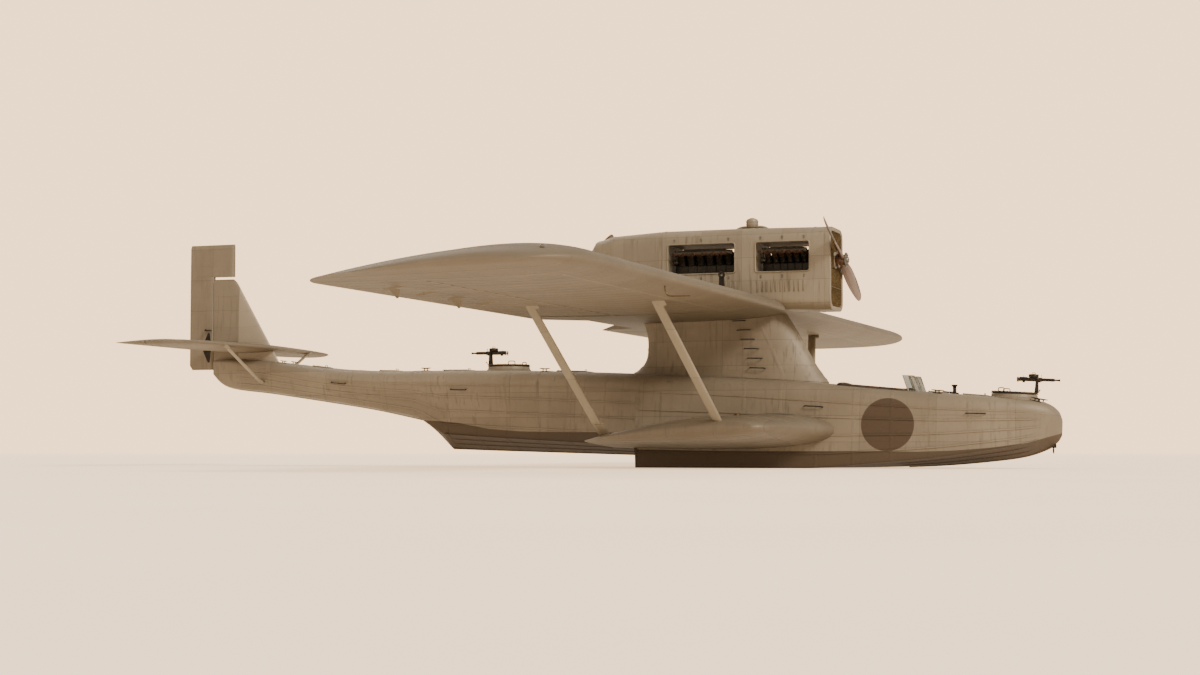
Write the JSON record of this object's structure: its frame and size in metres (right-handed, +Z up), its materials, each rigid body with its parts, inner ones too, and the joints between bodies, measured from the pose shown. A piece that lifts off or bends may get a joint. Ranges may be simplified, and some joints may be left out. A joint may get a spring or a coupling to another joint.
{
  "type": "flying boat",
  "caption": "Metal flying boat with a parasol wing on a pylon, side sponsons, engines back to back above the wing, open cockpit and gun rings.",
  "frame": {"origin": "on the floor under the middle of the length and span", "axes": "+X towards the bow, +Y to port, +Z up"},
  "size_m": [17.25, 22.5, 4.5563],
  "materials": {
    "hull_paint": "weathered grey-brown paint on riveted light alloy",
    "wing_paint": "weathered brown-grey paint",
    "tail_paint": "weathered dark brown-grey paint",
    "strut_paint": "light grey paint",
    "cowling_paint": "light brown-grey paint with oil streaks",
    "dark_iron": "dark oiled iron and steel",
    "radiator_brass": "dark tarnished brass core and shutters",
    "varnished_wood": "varnished laminated wood",
    "seat_leather": "worn brown leather",
    "clear_glass": "clear flat glass"
  },
  "bodies": {
    "airframe": {"hull": "hull_paint", "tailplane": "tail_paint", "fin": "tail_paint", "wing_centre": "wing_paint", "pylon": "hull_paint", "nacelle": "cowling_paint", "radiator": "radiator_brass", "header_tank": "cowling_paint", "engine_front": "dark_iron", "engine_rear": "dark_iron", "instrument_board": "varnished_wood", "bow_bollard": "dark_iron", "wing_port": "wing_paint", "sponson_port": "hull_paint", "strut_front_port": "strut_paint", "strut_rear_port": "strut_paint", "seat_port": "seat_leather", "control_wheel_port": "varnished_wood", "windscreen_frame_port": "dark_iron", "hoist_eye_port": "dark_iron", "tail_strut_port": "strut_paint", "pane_outer_port": "clear_glass", "pane_middle_port": "clear_glass", "pane_inner_port": "clear_glass", "wing_starboard": "wing_paint", "sponson_starboard": "hull_paint", "strut_front_starboard": "strut_paint", "strut_rear_starboard": "strut_paint", "seat_starboard": "seat_leather", "control_wheel_starboard": "varnished_wood", "windscreen_frame_starboard": "dark_iron", "hoist_eye_starboard": "dark_iron", "tail_strut_starboard": "strut_paint", "pane_outer_starboard": "clear_glass", "pane_middle_starboard": "clear_glass", "pane_inner_starboard": "clear_glass"},
    "rudder": {"rudder": "tail_paint"},
    "elevator": {"elevator": "tail_paint"},
    "aileron_port": {"aileron_port": "wing_paint"},
    "aileron_starboard": {"aileron_starboard": "wing_paint"},
    "propeller_front": {"propeller_front": "varnished_wood"},
    "propeller_rear": {"propeller_rear": "varnished_wood"},
    "gun_ring_bow": {"gun_ring_bow": "dark_iron"},
    "gun_bow": {"gun_bow": "dark_iron"},
    "gun_ring_dorsal": {"gun_ring_dorsal": "dark_iron"},
    "gun_dorsal": {"gun_dorsal": "dark_iron"}
  },
  "joints": [
    {"name": "propeller_front_spin", "type": "hinge", "parent": "airframe", "child": "propeller_front", "pos_m": [4.675, 0, 3.73], "axis": [1, 0, 0], "continuous": true},
    {"name": "propeller_rear_spin", "type": "hinge", "parent": "airframe", "child": "propeller_rear", "pos_m": [0.035, 0, 3.73], "axis": [-1, 0, 0], "continuous": true},
    {"name": "rudder_hinge", "type": "hinge", "parent": "airframe", "child": "rudder", "pos_m": [-8.125, 0, 3.175], "axis": [0, 0, 1], "range_deg": [-25, 25]},
    {"name": "elevator_hinge", "type": "hinge", "parent": "airframe", "child": "elevator", "pos_m": [-7.805, 0, 2.33], "axis": [0, 1, 0], "range_deg": [-20, 25]},
    {"name": "aileron_port_hinge", "type": "hinge", "parent": "airframe", "child": "aileron_port", "pos_m": [0.5015, 8.35, 2.7639], "axis": [0, 1, 0], "range_deg": [-20, 20]},
    {"name": "aileron_starboard_hinge", "type": "hinge", "parent": "airframe", "child": "aileron_starboard", "pos_m": [0.5015, -8.35, 2.7639], "axis": [0, 1, 0], "range_deg": [-20, 20]},
    {"name": "gun_ring_bow_turn", "type": "hinge", "parent": "airframe", "child": "gun_ring_bow", "pos_m": [7.815, 0, 1.2188], "axis": [0.0523, 0, 0.9986], "continuous": true},
    {"name": "gun_bow_pitch", "type": "hinge", "parent": "gun_ring_bow", "child": "gun_bow", "pos_m": [8.2083, 0, 1.5387], "axis": [0, -1, 0], "range_deg": [-8, 60]},
    {"name": "gun_ring_dorsal_turn", "type": "hinge", "parent": "airframe", "child": "gun_ring_dorsal", "pos_m": [-1.685, 0, 1.8221], "axis": [0, 0, 1], "continuous": true},
    {"name": "gun_dorsal_pitch", "type": "hinge", "parent": "gun_ring_dorsal", "child": "gun_dorsal", "pos_m": [-2.061, 0, 2.1621], "axis": [0, 1, 0], "range_deg": [-8, 60]}
  ],
  "couplings": [
    {"joint": "aileron_starboard_hinge", "follows": "aileron_port_hinge", "ratio": -1}
  ]
}
